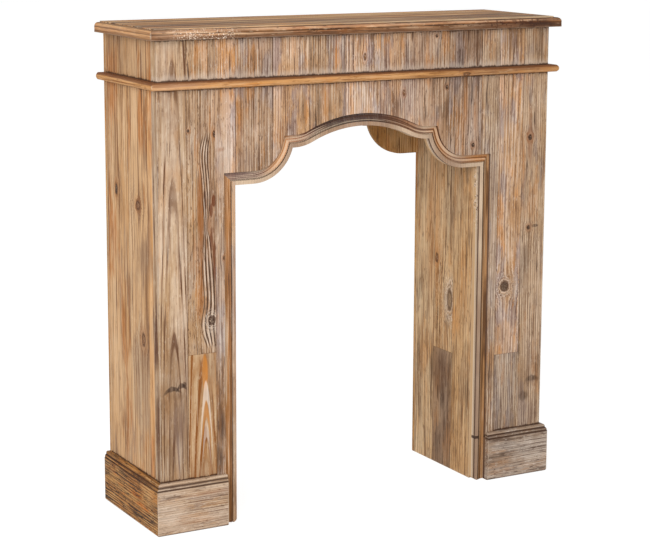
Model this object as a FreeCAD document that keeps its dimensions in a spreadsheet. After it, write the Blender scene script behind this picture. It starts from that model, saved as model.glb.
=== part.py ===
import FreeCAD, Part
import math
import os

import Sketcher
from FreeCAD import Placement, Rotation, Vector

# Fireplace surround in millimetres. +Z is up, +X runs to the viewer's right and -Y faces
# the room. The origin is on the floor, in the middle of the whole object's box.

DRIVING_SIZES = {
    # The whole body, without shelf, bead and plinth
    "body_width": 1000,
    "body_depth": 285,
    "overall_height": 1100,
    # Board thicknesses and the staves that the boards are glued up from
    "front_thickness": 26,
    "side_thickness": 20,
    "cheek_thickness": 18,
    "back_thickness": 10,
    "header_staves": 7,
    "leg_staves": 2,
    "jamb_stave": 49,
    "cheek_staves": 3,
    "narrow_side_stave": 26,
    "middle_side_stave": 103,
    # The arched opening at its inner edge, and the header from its shoulder to the shelf
    "opening_width": 632,
    "header_height": 318,
    "shoulder_flat": 44,
    "shoulder_radius": 100,
    "cusp_rise": 73,
    "cusp_flat": 4,
    "crown_rise": 39,
    "reverse_radius": 108,
    # The moulding cut into the front board round the opening
    "arris_width": 9,
    "arris_drop": 2,
    "quirk_width": 3,
    "quirk_drop": 6,
    "cove_width": 16,
    "cove_rim_drop": 3,
    "cove_drop": 8,
    "cove_sag": 2,
    # The frieze under the shelf and the rounded bead below it
    "frieze_height": 89,
    "bead_thickness": 16,
    "bead_projection": 19,
    "bead_nose": 5,
    # The mantel shelf and its edge strip
    "shelf_thickness": 24,
    "shelf_overhang": 21,
    "shelf_planks": 3,
    "strip_width": 13.5,
    "strip_step": 2.5,
    "strip_round": 9,
    # The plinth boards
    "plinth_height": 116,
    "plinth_thickness": 14.5,
    "plinth_lip": 14,
    "plinth_tread": 2,
    "plinth_quirk": 1.2,
    "plinth_bulge": 1,
    # Edges worn round at the floor
    "plinth_foot_round": 5,
    "jamb_foot_round": 9,
    # Battens inside
    "cleat_size": 30,
}

doc = FreeCAD.newDocument("FireplaceSurround")
sheet = doc.addObject("Spreadsheet::Sheet", "Sizes")
for row, (alias, number) in enumerate(DRIVING_SIZES.items(), start=1):
    sheet.set(f"A{row}", alias)
    sheet.set(f"B{row}", str(number))
    sheet.setAlias(f"B{row}", alias)
doc.recompute()

pieces = []


class Size:
    """A length with its value now and the sheet formula that gives it."""

    def __init__(self, value, formula):
        self.value = float(value)
        self.formula = formula

    def __add__(self, other):
        other = as_size(other)
        return Size(self.value + other.value, f"({self.formula} + {other.formula})")

    def __sub__(self, other):
        other = as_size(other)
        return Size(self.value - other.value, f"({self.formula} - {other.formula})")

    def __mul__(self, other):
        other = as_size(other)
        return Size(self.value * other.value, f"({self.formula} * {other.formula})")

    def __truediv__(self, other):
        other = as_size(other)
        return Size(self.value / other.value, f"({self.formula} / {other.formula})")

    def __neg__(self):
        return Size(-self.value, f"(0 - {self.formula})")

    def root(self):
        return Size(math.sqrt(self.value), f"sqrt({self.formula})")


def as_size(number):
    """A plain count or factor as a Size."""
    return number if isinstance(number, Size) else Size(number, str(number))


def size(alias):
    """A driving size from the sheet."""
    return Size(sheet.get(alias), f"{sheet.Name}.{alias}")


def count(alias):
    """A driving count from the sheet."""
    return int(sheet.get(alias))


NOTHING = as_size(0)

# Planes that the pieces share
half_width = size("body_width") / 2
half_opening = size("opening_width") / 2
body_front = (size("shelf_overhang") - size("body_depth")) / 2
body_back = (size("shelf_overhang") + size("body_depth")) / 2
body_top = size("overall_height") - size("shelf_thickness")
inner_front = body_front + size("front_thickness")
inner_back = body_back - size("back_thickness")
side_inside = half_width - size("side_thickness")
cheek_outside = half_opening + size("cheek_thickness")
mould_width = size("arris_width") + size("quirk_width") + size("cove_width")


def bind(piece, **properties):
    """Ties properties of a piece to sheet formulas."""
    for name, value in properties.items():
        piece.setExpression(name, value.formula)


def move(piece, x, y, z, turn=0):
    """Places a piece, with its corner tied to sheet formulas."""
    piece.Placement = Placement(Vector(x.value, y.value, z.value), Rotation(Vector(0, 0, 1), turn))
    piece.setExpression("Placement.Base.x", x.formula)
    piece.setExpression("Placement.Base.y", y.formula)
    piece.setExpression("Placement.Base.z", z.formula)


def keep(piece, label):
    """Lists a finished piece under the name that its file gets."""
    piece.Label = label
    pieces.append(piece)


def block(name, x_span, y_span, z_span):
    """A squared board between two planes each way."""
    board = doc.addObject("Part::Box", name)
    bind(
        board,
        Length=x_span[1] - x_span[0],
        Width=y_span[1] - y_span[0],
        Height=z_span[1] - z_span[0],
    )
    move(board, x_span[0], y_span[0], z_span[0])
    return board


def board(label, x_span, y_span, z_span):
    """A squared board that is a finished piece."""
    keep(block(label, x_span, y_span, z_span), label)


def plane(body, role):
    """One of a body's own origin planes."""
    return next(item for item in body.Origin.OriginFeatures if item.Role == role)


def pin(sketch, geometry, end, u, v):
    """Ties one end of a sketch line or arc to its two coordinates."""
    for kind, axis, place in (("DistanceX", -2, u), ("DistanceY", -1, v)):
        if place is NOTHING:
            sketch.addConstraint(Sketcher.Constraint("PointOnObject", geometry, end, axis))
            continue
        row = sketch.addConstraint(Sketcher.Constraint(kind, -1, 1, geometry, end, place.value))
        sketch.setExpression(f"Constraints[{row}]", place.formula)


def arc_middle(start, end, radius, side):
    """Half way along the short arc between two points, bowed to the given side of the way."""
    chord = end - start
    reach = chord.Length / 2
    bow = radius - math.sqrt(radius * radius - reach * reach)
    sideways = Vector(-chord.y, chord.x, 0).normalize()
    return (start + end) / 2 + sideways * (bow * side)


def outline(body, name, role, corners, closed=True):
    """A sketch through corners (u, v) or (u, v, radius, side).

    A corner with a radius is reached by an arc that bows to the left (1) or to the right (-1).
    """
    sketch = body.newObject("Sketcher::SketchObject", name)
    sketch.AttachmentSupport = (plane(body, role), [""])
    sketch.MapMode = "FlatFace"
    steps = list(zip(corners, corners[1:]))
    if closed:
        steps.append((corners[-1], corners[0]))
    for (u0, v0, *_), (u1, v1, *bow) in steps:
        start = Vector(u0.value, v0.value, 0)
        end = Vector(u1.value, v1.value, 0)
        first, last = 1, 2
        if bow:
            radius, side = bow
            middle = arc_middle(start, end, radius.value, side)
            if side > 0:
                start, end = end, start
                first, last = last, first
            edge = sketch.addGeometry(Part.Arc(start, middle, end))
        else:
            edge = sketch.addGeometry(Part.LineSegment(start, end))
        pin(sketch, edge, first, u0, v0)
        pin(sketch, edge, last, u1, v1)
        if bow:
            row = sketch.addConstraint(Sketcher.Constraint("Radius", edge, radius.value))
            sketch.setExpression(f"Constraints[{row}]", radius.formula)
    return sketch


def bow_radius(width, height, bulge):
    """Radius of an arc over a chord with the given legs that stands out by the bulge."""
    return ((width * width + height * height) / 4 + bulge * bulge) / (bulge * 2)


def pad(body, sketch, length, toward_back=False):
    """Thickens a sketch into the body's first solid."""
    feature = body.newObject("PartDesign::Pad", f"{body.Name}_pad")
    feature.Profile = sketch
    feature.Reversed = toward_back
    bind(feature, Length=length)
    doc.recompute()
    return feature


def arch_corners():
    """The opening's edge from the left foot over the crown to the right foot.

    A level shoulder turns up a quarter round to a cusp. A short flat, a reverse curve and the
    crown follow, and the right half mirrors the left.
    """
    shoulder = body_top - size("header_height")
    radius = size("shoulder_radius")
    rise = size("cusp_rise")
    crown_rise = size("crown_rise")
    reverse = size("reverse_radius")
    cusp_height = shoulder + rise
    round_start = half_opening - size("shoulder_flat")
    cusp = round_start - (radius * rise * 2 - rise * rise).root()
    reverse_start = cusp - size("cusp_flat")
    both_radii = (reverse_start * reverse_start + crown_rise * crown_rise) / (crown_rise * 2)
    crown_radius = both_radii - reverse
    share = crown_radius / both_radii
    bend = reverse_start * share
    crown_top = cusp_height + crown_rise
    bend_height = crown_top - crown_radius + (both_radii - crown_rise) * share
    return [
        (-half_opening, NOTHING),
        (-half_opening, shoulder),
        (-round_start, shoulder),
        (-cusp, cusp_height, radius, -1),
        (-reverse_start, cusp_height),
        (-bend, bend_height, reverse, -1),
        (bend, bend_height, crown_radius, 1),
        (reverse_start, cusp_height, reverse, -1),
        (cusp, cusp_height),
        (round_start, shoulder, radius, -1),
        (half_opening, shoulder),
        (half_opening, NOTHING),
    ]


def arched_body(name, y, thickness):
    """A full-width board with the arched opening cut out of it."""
    body = doc.addObject("PartDesign::Body", name)
    corners = [
        (half_width, NOTHING),
        (half_width, body_top),
        (-half_width, body_top),
        (-half_width, NOTHING),
    ]
    sketch = outline(body, f"{name}_outline", "XZ_Plane", arch_corners() + corners)
    pad(body, sketch, thickness, toward_back=True)
    move(body, NOTHING, y, NOTHING)
    return body


def cut_arch_moulding(body):
    """Runs the moulding's profile round the opening, mitred at the shoulders and cusps.

    From the opening outwards it has a flat arris, a square quirk and a cove that deepens
    towards a sharp outer wall.
    """
    proud = size("arris_drop")
    quirk_start = -half_opening - size("arris_width")
    cove_start = quirk_start - size("quirk_width")
    outer = -half_opening - mould_width
    cove_radius = bow_radius(
        size("cove_width"), size("cove_drop") - size("cove_rim_drop"), size("cove_sag")
    )
    profile = outline(
        body,
        "moulding_profile",
        "XY_Plane",
        [
            (-half_opening, -proud),
            (-half_opening, size("arris_drop")),
            (quirk_start, size("arris_drop")),
            (quirk_start, size("quirk_drop")),
            (cove_start, size("quirk_drop")),
            (cove_start, size("cove_rim_drop")),
            (outer, size("cove_drop"), cove_radius, -1),
            (outer, -proud),
        ],
    )
    path = outline(body, "moulding_path", "XZ_Plane", arch_corners(), closed=False)
    doc.recompute()
    cut = body.newObject("PartDesign::SubtractivePipe", "moulding_cut")
    cut.Profile = profile
    cut.Spine = (path, [f"Edge{edge + 1}" for edge in range(path.GeometryCount)])
    cut.Transition = "Right corner"
    doc.recompute()


def round_jamb_feet(body):
    """Rounds the corner where each side of the opening meets the floor."""
    radius = size("jamb_foot_round")
    for name, way in (("left", -1), ("right", 1)):
        edge = half_opening * way
        reach = radius * way
        corner = outline(
            body,
            f"{name}_foot_corner",
            "XZ_Plane",
            [
                (edge + reach, NOTHING),
                (edge, radius, radius, way),
                (edge - reach, radius),
                (edge - reach, -radius),
                (edge + reach, -radius),
            ],
        )
        cut = body.newObject("PartDesign::Pocket", f"{name}_foot_cut")
        cut.Profile = corner
        cut.SideType = "Symmetric"
        bind(cut, Length=size("front_thickness") * 4)
        doc.recompute()


def stave(label, panel, x_span):
    """One upright stave of a glued-up board, cut from the board between two joints."""
    slice_block = block(
        f"{label}_slice",
        x_span,
        (body_front - size("front_thickness"), body_back + size("back_thickness")),
        (-size("shelf_thickness"), size("overall_height")),
    )
    piece = doc.addObject("Part::Common", label)
    piece.Base = panel
    piece.Tool = slice_block
    keep(piece, label)


def split(span, number):
    """Equal spans between two planes."""
    step = (span[1] - span[0]) / number
    return [(span[0] + step * index, span[0] + step * (index + 1)) for index in range(number)]


def staves(panel, label, span, number):
    """A run of equal staves, numbered from left to right."""
    for place, edges in enumerate(split(span, number), start=1):
        stave(f"{label}_{place}", panel, edges)


def mirrored(out, up, radius=None, side=0):
    """A profile corner turned to face the room, where an arc bows to the other side."""
    flipped = out if out is NOTHING else -out
    return (flipped, up) if radius is None else (flipped, up, radius, -side)


def moulding(label, profile, projection, height, length, mitres, place, turn):
    """A length of moulding against a wall, running along its own X.

    The profile is given as (out, up) corners. Mitres name the ends, start and end, that are
    cut at 45 degrees and so run on past the wall's corner.
    """
    body = doc.addObject("PartDesign::Body", label)
    sketch = outline(body, f"{label}_profile", "YZ_Plane", [mirrored(*corner) for corner in profile])
    run = length
    for _ in mitres:
        run = run + projection
    if "start" in mitres:
        sketch.setExpression("AttachmentOffset.Base.z", (-projection).formula)
    pad(body, sketch, run)
    reach = projection * 2
    through = height * 4
    corner_cuts = {
        "start": (NOTHING, -1),
        "end": (length, 1),
    }
    for end in mitres:
        corner, way = corner_cuts[end]
        triangle = outline(
            body,
            f"{label}_{end}_mitre",
            "XY_Plane",
            [
                (corner - reach * way, reach),
                (corner + reach * way, -reach),
                (corner + reach * way, reach),
            ],
        )
        cut = body.newObject("PartDesign::Pocket", f"{label}_{end}_cut")
        cut.Profile = triangle
        cut.SideType = "Symmetric"
        bind(cut, Length=through)
        doc.recompute()
    move(body, *place, turn=turn)
    keep(body, label)


def make_front():
    """The front board in upright staves, with the arch and its moulding.

    A narrow jamb stave on each side of the opening carries the moulding's uprights and is
    worn round at the floor.
    """
    panel = arched_body("front_board", body_front, size("front_thickness"))
    cut_arch_moulding(panel)
    round_jamb_feet(panel)
    jamb = half_opening + size("jamb_stave")
    staves(panel, "front_left_stave", (-half_width, -jamb), count("leg_staves"))
    stave("front_left_jamb_stave", panel, (-jamb, -half_opening))
    staves(panel, "front_header_stave", (-half_opening, half_opening), count("header_staves"))
    stave("front_right_jamb_stave", panel, (half_opening, jamb))
    staves(panel, "front_right_stave", (jamb, half_width), count("leg_staves"))


def make_back():
    """The thin back board, with the same arch and no moulding."""
    panel = arched_body("back_board", inner_back, size("back_thickness"))
    stave("back_left_board", panel, (-half_width, -half_opening))
    stave("back_right_board", panel, (half_opening, half_width))
    staves(panel, "back_header_stave", (-half_opening, half_opening), count("header_staves"))


def make_legs():
    """Side panels, cheeks and the battens that keep the hollow legs square."""
    upright = (NOTHING, body_top)
    first_joint = inner_front + size("narrow_side_stave")
    second_joint = first_joint + size("middle_side_stave")
    side_staves = {
        "front": (inner_front, first_joint),
        "middle": (first_joint, second_joint),
        "back": (second_joint, inner_back),
    }
    across = {
        "left": {
            "side": (-half_width, -side_inside),
            "cheek": (-cheek_outside, -half_opening),
            "hollow": (-side_inside, -cheek_outside),
        },
        "right": {
            "side": (side_inside, half_width),
            "cheek": (half_opening, cheek_outside),
            "hollow": (cheek_outside, side_inside),
        },
    }
    cleat = size("cleat_size")
    for side, spans in across.items():
        for name, edges in side_staves.items():
            board(f"{side}_side_{name}_stave", spans["side"], edges, upright)
        cheek_edges = split((inner_front, inner_back), count("cheek_staves"))
        for number, edges in enumerate(cheek_edges, start=1):
            board(f"{side}_cheek_stave_{number}", spans["cheek"], edges, upright)
        floor = (NOTHING, cleat)
        board(f"{side}_foot_batten_front", spans["hollow"], (inner_front, inner_front + cleat), floor)
        board(f"{side}_foot_batten_back", spans["hollow"], (inner_back - cleat, inner_back), floor)
        top = (body_top - cleat, body_top)
        board(f"{side}_leg_cleat", spans["hollow"], (inner_front, inner_back), top)


def make_shelf():
    """Shelf planks, the moulded strip round three edges and the cleats under it."""
    strip = size("strip_width")
    field_half = half_width + size("shelf_overhang") - strip
    field_front = body_front - size("shelf_overhang") + strip
    lift = (body_top, size("overall_height"))
    planks = split((field_front, body_back), count("shelf_planks"))
    for number, edges in enumerate(planks, start=1):
        board(f"shelf_plank_{number}", (-field_half, field_half), edges, lift)
    ledge = size("shelf_thickness") - size("strip_step")
    roundness = size("strip_round")
    profile = [
        (NOTHING, NOTHING),
        (strip, NOTHING),
        (strip, ledge - roundness),
        (strip - roundness, ledge, roundness, -1),
        (NOTHING, ledge),
    ]
    edge_runs(
        "shelf_edge", profile, strip, size("shelf_thickness"), field_half, field_front, body_top
    )
    cleat = size("cleat_size")
    top = (body_top - cleat, body_top)
    between = (-half_opening, half_opening)
    board("shelf_cleat_front", between, (inner_front, inner_front + cleat), top)
    board("shelf_cleat_back", between, (inner_back - cleat, inner_back), top)


def edge_runs(label, profile, projection, height, half_length, front, bottom):
    """One moulding round the front and both sides, mitred at the front corners."""
    side_length = body_back - front
    moulding(
        f"{label}_front", profile, projection, height, half_length * 2,
        ("start", "end"), (-half_length, front, bottom), 0,
    )
    moulding(
        f"{label}_left", profile, projection, height, side_length,
        ("end",), (-half_length, body_back, bottom), -90,
    )
    moulding(
        f"{label}_right", profile, projection, height, side_length,
        ("start",), (half_length, front, bottom), 90,
    )


def make_bead():
    """The rounded bead under the frieze, on the front and both sides."""
    thickness = size("bead_thickness")
    flat = size("bead_projection") - size("bead_nose")
    nose_radius = bow_radius(NOTHING, thickness, size("bead_nose"))
    profile = [
        (NOTHING, NOTHING),
        (flat, NOTHING),
        (flat, thickness, nose_radius, -1),
        (NOTHING, thickness),
    ]
    bottom = body_top - size("frieze_height") - thickness
    edge_runs(
        "bead", profile, size("bead_projection"), thickness, half_width, body_front, bottom
    )


def make_plinths():
    """A mitred pair of plinth boards on each foot, with a twice-stepped top and a worn foot."""
    thickness = size("plinth_thickness")
    quirk = size("plinth_quirk")
    tread = size("plinth_tread")
    riser = size("plinth_lip") / 2
    face_top = size("plinth_height") - size("plinth_lip")
    roundness = bow_radius(tread, riser, size("plinth_bulge"))
    foot = size("plinth_foot_round")
    profile = [
        (NOTHING, NOTHING),
        (thickness - foot, NOTHING),
        (thickness, foot, foot, -1),
        (thickness, face_top),
        (thickness - quirk, face_top),
        (thickness - quirk - tread, face_top + riser, roundness, -1),
        (thickness - quirk * 2 - tread, face_top + riser),
        (thickness - quirk * 2 - tread * 2, size("plinth_height"), roundness, -1),
        (NOTHING, size("plinth_height")),
    ]
    front_length = half_width - half_opening - mould_width
    sides = {
        "left": ("start", -half_width, "end", (-half_width, body_back, NOTHING), -90),
        "right": ("end", half_width - front_length, "start", (half_width, body_front, NOTHING), 90),
    }
    for side, (front_mitre, front_start, side_mitre, side_place, turn) in sides.items():
        moulding(
            f"{side}_plinth_front", profile, thickness, size("plinth_height"), front_length,
            (front_mitre,), (front_start, body_front, NOTHING), 0,
        )
        moulding(
            f"{side}_plinth_side", profile, thickness, size("plinth_height"), size("body_depth"),
            (side_mitre,), side_place, turn,
        )


def check_document():
    """Stops before anything is written if a feature failed or a piece isn't one sound solid."""
    for item in doc.Objects:
        if "Invalid" in item.State or "Error" in item.State:
            raise RuntimeError(f"{item.Label} failed: {item.State}")
    for piece in pieces:
        shape = piece.Shape
        if shape.isNull() or not shape.isValid() or len(shape.Solids) != 1:
            raise RuntimeError(f"{piece.Label} isn't one sound solid")


make_front()
make_back()
make_legs()
make_shelf()
make_bead()
make_plinths()
doc.recompute()
check_document()

os.makedirs("parts", exist_ok=True)
for piece in pieces:
    piece.Shape.exportStep(os.path.join("parts", f"{piece.Label}.step"))
print(f"{len(pieces)} pieces written")
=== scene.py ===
import random
from collections import namedtuple
from math import cos, sin
from types import SimpleNamespace

import bpy
from mathutils import Matrix, Vector


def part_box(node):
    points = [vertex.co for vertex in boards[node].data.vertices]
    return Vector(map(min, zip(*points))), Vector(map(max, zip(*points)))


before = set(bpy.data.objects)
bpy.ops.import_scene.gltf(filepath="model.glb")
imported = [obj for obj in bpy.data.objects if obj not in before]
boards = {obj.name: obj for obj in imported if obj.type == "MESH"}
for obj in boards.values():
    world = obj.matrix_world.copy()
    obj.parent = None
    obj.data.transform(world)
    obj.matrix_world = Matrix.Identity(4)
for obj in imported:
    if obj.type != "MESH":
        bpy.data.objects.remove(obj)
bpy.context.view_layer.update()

# A white-washed fir fireplace surround. Metres, +Z up, -Y towards the room.
MM = 0.001
AXES = "XYZ"

# Heights and faces of the surround that its finish follows
FRONT_FACE = -132 * MM
BEAD_BOTTOM = 971 * MM
BEAD_TOP = 987 * MM
SHELF_BOTTOM = 1076 * MM
STRIP_SHOULDER = 1088.5 * MM
STRIP_TOP = 1097.5 * MM
PLINTH_TOP = 116 * MM
PLINTH_STEPS = (PLINTH_TOP - 7 * MM, PLINTH_TOP - 14 * MM)
SHOULDER = 758 * MM
OPENING_HALF = 316 * MM
FLOOR = 0.0
NOWHERE = -1.0

# The camera stands left of the middle and looks slightly down
CAMERA_PLACE = (-2.0819, -3.7110, 1.3671)
CAMERA_TURN = 0.5067
CAMERA_DIP = 0.1788
CAMERA_ROLL = 0.0041
CAMERA_SHIFT = -0.06
FOCAL_PIXELS = 1869.8
IMAGE_WIDTH = 650
SENSOR_WIDTH = 36


def paint(red, green, blue):
    """A screen colour, each part in 0 to 255, as light values by the sRGB curve."""
    def light(level):
        level = level / 255
        return level / 12.92 if level <= 0.04045 else ((level + 0.055) / 1.055) ** 2.4
    return (light(red), light(green), light(blue), 1.0)


def reckon(operation):
    """A way to reckon with two numbers of a shader tree."""
    return lambda first, second: first.shade.math(operation, first, second)


class Value:
    """What one output of a node holds. Numbers among them can be reckoned with as usual."""

    def __init__(self, shade, socket):
        self.shade, self.socket = shade, socket

    __add__ = reckon("ADD")
    __sub__ = reckon("SUBTRACT")
    __mul__ = reckon("MULTIPLY")
    __truediv__ = reckon("DIVIDE")

    def __rsub__(self, first):
        return self.shade.math("SUBTRACT", first, self)

    def __abs__(self):
        return self.shade.math("ABSOLUTE", self)

    def step(self, start, end):
        """0 at start, 1 at end, smooth between them; start may be the larger."""
        inputs = {"Value": self, "From Min": start, "From Max": end}
        return self.shade.value("ShaderNodeMapRange", inputs, interpolation_type="SMOOTHSTEP")

    def band(self, start, full, fade, end):
        """1 from full to fade, and smoothly down to 0 at start and end."""
        return self.step(start, full) * self.step(end, fade)


# The sockets of a node that mixes colours, which share their names with those for other kinds of value
MIX_AMOUNT, MIX_FIRST, MIX_SECOND, MIX_RESULT = 0, 6, 7, 2
NOISE_MIDDLE = 0.5


class Tree:
    """Short ways to add nodes to one shader tree and to join them."""

    def __init__(self, tree):
        self.tree = tree

    def add(self, kind, inputs=None, **settings):
        """A new node; its inputs are fed with plain values or from other nodes."""
        node = self.tree.nodes.new(kind)
        for name, setting in settings.items():
            setattr(node, name, setting)
        for name, fed in (inputs or {}).items():
            if isinstance(fed, Value):
                self.tree.links.new(fed.socket, node.inputs[name])
            else:
                node.inputs[name].default_value = fed
        return node

    def value(self, kind, inputs=None, output=0, **settings):
        """A new node of which one output is used."""
        return Value(self, self.add(kind, inputs, **settings).outputs[output])

    def named(self, node):
        """All outputs of a node by name."""
        sockets = [socket for socket in node.outputs if socket.name]
        return SimpleNamespace(**{socket.name: Value(self, socket) for socket in sockets})

    def use(self, group, **inputs):
        """The outputs of a node group by name."""
        return self.named(self.add("ShaderNodeGroup", inputs, node_tree=group))

    def give(self, **outputs):
        """Ends a node group with these outputs, which are numbers but for the one named colour."""
        for name in outputs:
            kind = "NodeSocketColor" if name == "colour" else "NodeSocketFloat"
            self.tree.interface.new_socket(name, in_out="OUTPUT", socket_type=kind)
        self.add("NodeGroupOutput", outputs)
        return self.tree

    def math(self, operation, *numbers):
        return self.value("ShaderNodeMath", dict(enumerate(numbers)), operation=operation)

    def vector(self, operation, *vectors):
        return self.value("ShaderNodeVectorMath", dict(enumerate(vectors)), operation=operation)

    def point(self, x, y, z=0.0):
        return self.value("ShaderNodeCombineXYZ", {"X": x, "Y": y, "Z": z})

    def length(self, x, y):
        """How far a point lies from the middle."""
        return self.value("ShaderNodeVectorMath", {0: self.point(x, y)}, "Value", operation="LENGTH")

    def scaled(self, vector, factor):
        inputs = {"Vector": vector, "Scale": factor}
        return self.value("ShaderNodeVectorMath", inputs, operation="SCALE")

    def parts(self, vector):
        """The numbers X, Y and Z of a vector."""
        node = self.add("ShaderNodeSeparateXYZ", {"Vector": vector})
        return [Value(self, socket) for socket in node.outputs]

    def noise(self, place, seed, detail=2.0, roughness=0.5):
        inputs = {"Vector": place, "W": seed, "Scale": 1.0, "Detail": detail, "Roughness": roughness}
        return self.value("ShaderNodeTexNoise", inputs, noise_dimensions="4D")

    def blend(self, amount, first, second):
        inputs = {MIX_AMOUNT: amount, MIX_FIRST: first, MIX_SECOND: second}
        return self.value("ShaderNodeMix", inputs, MIX_RESULT, data_type="RGBA")


def new_group(name, numbers, places="", colours=""):
    """An empty node group with these inputs, and the inputs by name."""
    tree = bpy.data.node_groups.new(name, "ShaderNodeTree")
    for kind, sockets in (("Float", numbers), ("Vector", places), ("Color", colours)):
        for socket in sockets.split():
            tree.interface.new_socket(socket, in_out="INPUT", socket_type="NodeSocket" + kind)
    shade = Tree(tree)
    return shade, shade.named(shade.add("NodeGroupInput"))


def bare_tree(holder):
    """The emptied shader tree of a material or a world."""
    holder.use_nodes = True
    holder.node_tree.nodes.clear()
    return Tree(holder.node_tree)


# Below, a pair of numbers says where an effect begins to show and where it shows in full. Four say where it
# begins, where it is full, where it fades and where it ends.
# The masks of a knot, in half-widths from its middle
KNOT_REACH = 1.5
HEART_EDGE = (1.05, 0.75)
RIM_BAND = (0.55, 0.9, 0.95, 1.4)
TURNS_BAND = (0.95, 1.2, 1.7, 3.0)
HALO_EDGE = (3.4, 1.0)
# The rings that turn round a knot: how many to a half-width, and which part of a turn is dark or pale
TURNS = 1.7
TURN_DARK = (0.5, 0.75)
TURN_PALE = (0.5, 0.25)
# Lumps in the outline of a knot and specks in its heart, per metre
LUMPS = 190.0
LUMPINESS = 1.1
LEAST_SPREAD = 0.45
LEAST_RIM = 0.35
SPECKLES = 420.0
SPECKLE_RANGE = (0.5, 0.66)


def make_knot_group():
    """A knot in a board: how it bends the grain, its heart, the rim and rings round it, and its stain."""
    shade, given = new_group("knot", "across along knot_across knot_along size stretch")
    beside = given.across - given.knot_across
    above = (given.along - given.knot_along) / given.stretch

    def spots(fineness, seed, detail):
        return shade.noise(shade.point(beside * fineness, above * fineness), seed, detail)

    lumps = spots(LUMPS, given.knot_along, detail=3.0) * LUMPINESS
    specks = spots(SPECKLES, given.knot_across, detail=2.0).step(*SPECKLE_RANGE)
    spread = shade.length(beside, above) * (lumps + LEAST_SPREAD)
    reach = given.size * KNOT_REACH
    share = reach / shade.math("MAXIMUM", spread, reach)
    ratio = spread / given.size
    heart = ratio.step(*HEART_EDGE)
    rim = ratio.band(*RIM_BAND)
    turn = shade.math("FRACT", ratio * TURNS)
    around = ratio.band(*TURNS_BAND)
    return shade.give(
        bend=beside * share * share * -1.0,
        heart=heart,
        speckle=heart * specks,
        ring=rim * (lumps + LEAST_RIM),
        swirl=turn.step(*TURN_DARK) * around,
        pale=turn.step(*TURN_PALE) * around,
        halo=ratio.step(*HALO_EDGE),
    )


# One pattern in the wood: how fine it is across and along the grain per metre, its seed, detail and
# roughness
Layer = namedtuple("Layer", "across along seed detail roughness")
WAVE = Layer(4.0, 1.2, 0.0, 1.0, 0.5)
WANDER = Layer(30.0, 6.0, 3.3, 1.0, 0.5)
SAG = Layer(0.0, 2.4, 7.1, 1.0, 0.5)
BANDS = Layer(12.0, 2.0, 17.0, 3.0, 0.6)
WARMS = Layer(38.0, 7.0, 13.0, 4.0, 0.6)
GREYS = Layer(30.0, 7.0, 19.0, 4.0, 0.6)
STREAKS = Layer(75.0, 3.5, 29.0, 2.0, 0.6)
LINES = Layer(190.0, 5.0, 41.0, 3.0, 0.65)
ZONES = Layer(14.0, 7.0, 61.0, 2.0, 0.5)
THREADS = Layer(360.0, 9.0, 5.0, 2.0, 0.6)
PATCHES = Layer(12.0, 8.0, 31.0, 4.0, 0.6)
CLOUDS = Layer(24.0, 14.0, 71.0, 4.0, 0.62)
BLOTCHES = Layer(16.0, 5.0, 37.0, 4.0, 0.6)
SPECKS = Layer(250.0, 60.0, 83.0, 2.0, 0.65)
CRACKS = Layer(200.0, 11.0, 53.0, 1.0, 0.5)
WAVE_REACH = 9 * MM
WANDER_REACH = 2.5 * MM
SAG_REACH = 12 * MM
# Which part of each pattern shows
BAND_RANGE = (0.38, 0.55)
TONE_RANGE = (0.51, 0.61)
ZONE_RANGE = (0.36, 0.64)
PATCH_RANGE = (0.36, 0.58)
BLOTCH_RANGE = (0.54, 0.68)
CRACK_RANGE = (0.68, 0.73)
STREAK_DARK = (0.46, 0.36)
STREAK_PALE = (0.54, 0.62)
STREAK_STAINED = (0.38, 0.55)
LINE_DARK = (0.45, 0.4)
LINE_PALE = (0.53, 0.59)
THREAD_DARK = (0.46, 0.38)
CLOUD_DARK = (0.52, 0.7)
CLOUD_PALE = (0.46, 0.32)
SPECK_DARK = (0.42, 0.34)
SPECK_PALE = (0.59, 0.67)
LEAST_LINED = 0.1
CRACK_STRENGTH = 0.8
# The rings of the years: their unevenness, and which part of a year is dark late wood or pale early wood
YEAR_PATTERN = 60.0
YEAR_SPREAD = 1.3
LATE_BAND = (0.66, 0.77, 0.94, 1.0)
EARLY_BAND = (0.02, 0.14, 0.36, 0.5)
# How far late wood, lines and threads stand out, and how rough bare wood, wash and threads are
LATE_RELIEF, LINE_RELIEF, THREAD_RELIEF = 0.5, 0.8, 0.5
BARE_ROUGH, WASH_ROUGH, THREAD_ROUGH = 0.58, 0.14, 0.16

WOOD_COLOURS = ("tan", "pale", "warm", "grey", "line", "white", "stain")
WOOD_AMOUNTS = ("warm_amount", "grey_amount", "ring_amount", "line_amount", "wash_amount", "stain_amount")


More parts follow.
